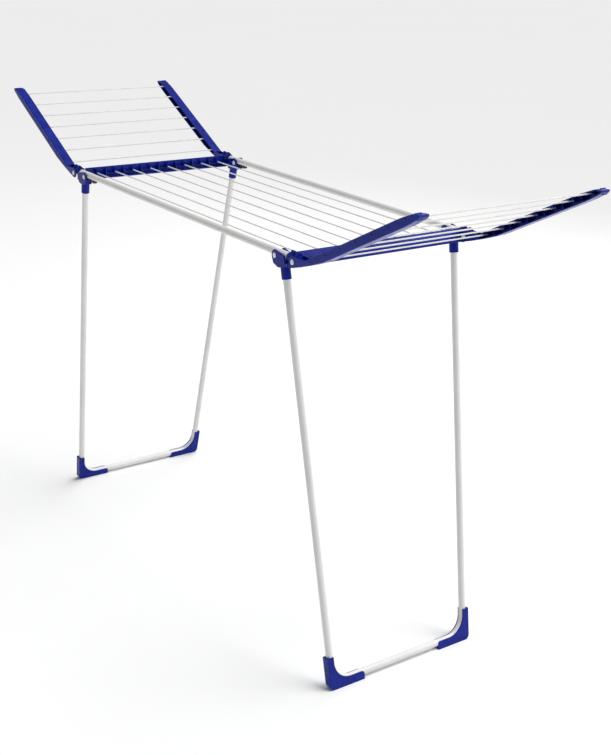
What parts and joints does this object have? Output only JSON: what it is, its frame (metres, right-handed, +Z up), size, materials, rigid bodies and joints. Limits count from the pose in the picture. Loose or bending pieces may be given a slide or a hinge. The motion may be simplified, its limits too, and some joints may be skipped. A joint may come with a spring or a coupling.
{
  "type": "clothes drying rack",
  "caption": "Folding clothes drying rack: a line-strung centre frame on splayed tubular leg frames, with an upswept line-strung wing hinged at each end.",
  "frame": {"origin": "on the floor, under the middle of the open rack", "axes": "+X along the rails to the right, +Y to the back, +Z up"},
  "size_m": [1.7766, 0.4854, 1.1194],
  "materials": {
    "white_tube": "white powder coating on thin steel tube",
    "white_wire": "white plastic-coated steel wire",
    "blue_plastic": "glossy moulded royal-blue plastic",
    "white_plastic": "glossy white plastic rivet caps",
    "black_plastic": "soft black plastic",
    "nylon": "natural nylon washers",
    "pin_steel": "plain steel rivet pins"
  },
  "bodies": {
    "centre_frame": {"rail_front": "white_tube", "rail_back": "white_tube", "cross_beam_left": "blue_plastic", "cross_beam_right": "blue_plastic", "centre_wire_1": "white_wire", "centre_wire_2": "white_wire", "centre_wire_3": "white_wire", "centre_wire_4": "white_wire", "centre_wire_5": "white_wire", "centre_wire_6": "white_wire", "centre_wire_7": "white_wire", "centre_wire_8": "white_wire", "wing_hinge_pins": "pin_steel", "wing_hinge_caps": "white_plastic", "leg_hinge_pins": "pin_steel", "leg_hinge_caps": "white_plastic", "hinge_washers": "nylon", "leg_buffer_left_front": "black_plastic", "leg_buffer_left_back": "black_plastic"},
    "left_wing": {"left_arm_front": "blue_plastic", "left_arm_back": "blue_plastic", "left_wing_wire_1": "white_wire", "left_wing_wire_2": "white_wire", "left_wing_wire_3": "white_wire", "left_wing_wire_4": "white_wire", "left_wing_wire_5": "white_wire", "left_wing_wire_6": "white_wire", "left_wing_wire_7": "white_wire"},
    "right_wing": {"right_arm_front": "blue_plastic", "right_arm_back": "blue_plastic", "right_wing_wire_1": "white_wire", "right_wing_wire_2": "white_wire", "right_wing_wire_3": "white_wire", "right_wing_wire_4": "white_wire", "right_wing_wire_5": "white_wire", "right_wing_wire_6": "white_wire", "right_wing_wire_7": "white_wire"},
    "left_leg": {"left_leg_frame": "white_tube", "left_connector_front": "blue_plastic", "left_connector_back": "blue_plastic", "left_shoe_front": "blue_plastic", "left_shoe_back": "blue_plastic"},
    "right_leg": {"right_leg_frame": "white_tube", "right_connector_front": "blue_plastic", "right_connector_back": "blue_plastic", "right_shoe_front": "blue_plastic", "right_shoe_back": "blue_plastic"}
  },
  "joints": [
    {"name": "right_wing_fold", "type": "hinge", "parent": "centre_frame", "child": "right_wing", "pos_m": [0.51, 0, 0.945], "axis": [0, -1, 0], "range_deg": [0, 146.5]},
    {"name": "left_wing_fold", "type": "hinge", "parent": "centre_frame", "child": "left_wing", "pos_m": [-0.51, 0, 0.945], "axis": [0, 1, 0], "range_deg": [0, 146.5]},
    {"name": "right_leg_fold", "type": "hinge", "parent": "centre_frame", "child": "right_leg", "pos_m": [0.447, 0, 0.945], "axis": [0, 1, 0], "range_deg": [0, 97.6]},
    {"name": "left_leg_fold", "type": "hinge", "parent": "centre_frame", "child": "left_leg", "pos_m": [-0.447, 0, 0.945], "axis": [0, -1, 0], "range_deg": [0, 91.6]}
  ]
}
